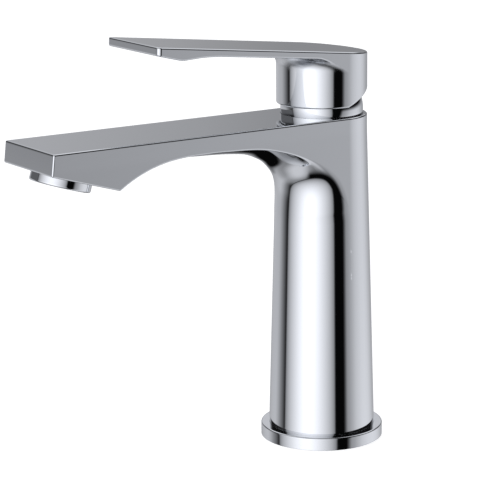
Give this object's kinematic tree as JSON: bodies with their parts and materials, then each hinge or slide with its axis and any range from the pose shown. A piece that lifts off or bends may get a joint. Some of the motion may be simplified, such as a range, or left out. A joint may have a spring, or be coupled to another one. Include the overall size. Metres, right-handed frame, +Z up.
{
  "type": "bathroom mixer faucet",
  "caption": "Single-lever basin mixer with a tapered round column, a flat arched spout, a ball neck and a flat lever over it.",
  "frame": {"origin": "column axis at the deck surface, centre of the body's foot", "axes": "+Z up the column, -Y along the spout and the lever, X across the spout"},
  "size_m": [0.052, 0.1668, 0.1776],
  "materials": {
    "chrome_plate": "polished",
    "cast_body": "polished",
    "brass_parts": "machined",
    "steel_parts": "machined",
    "rubber_seals": "matt",
    "cartridge_plastic": "moulded",
    "limit_plastic": "moulded",
    "disc_ceramic": "lapped",
    "aerator_plastic": "moulded"
  },
  "bodies": {
    "faucet": {"body": "cast_body", "base_flange": "chrome_plate", "flange_o_ring": "rubber_seals", "base_gasket": "rubber_seals", "ball_neck": "chrome_plate", "retaining_nut": "brass_parts", "cartridge_housing": "cartridge_plastic", "housing_o_ring": "rubber_seals", "limit_ring": "limit_plastic", "cartridge_base": "cartridge_plastic", "inlet_seals": "rubber_seals", "fixed_disc": "disc_ceramic", "aerator_shell": "chrome_plate", "aerator_insert": "aerator_plastic", "aerator_screen": "aerator_plastic", "aerator_washer": "rubber_seals"},
    "rotor": {"cartridge_rotor": "cartridge_plastic", "stem_pin": "steel_parts"},
    "lever": {"lever": "chrome_plate", "lever_stem": "brass_parts", "set_screw": "steel_parts", "index_plug": "chrome_plate"},
    "disc": {"moving_disc": "disc_ceramic", "disc_carrier": "cartridge_plastic"}
  },
  "joints": [
    {"name": "temperature_swivel", "type": "hinge", "parent": "faucet", "child": "rotor", "pos_m": [0, 0, 0.1435], "axis": [0, 0, 1], "range_deg": [-50, 50]},
    {"name": "flow_tilt", "type": "hinge", "parent": "rotor", "child": "lever", "pos_m": [0, 0, 0.1435], "axis": [-1, 0, 0], "range_deg": [0, 22]},
    {"name": "disc_slide", "type": "slide", "parent": "rotor", "child": "disc", "axis": [0, -1, 0], "range_m": [0, 0.0053]}
  ],
  "couplings": [
    {"joint": "disc_slide", "follows": "flow_tilt", "m_per_rad": 0.01366}
  ]
}
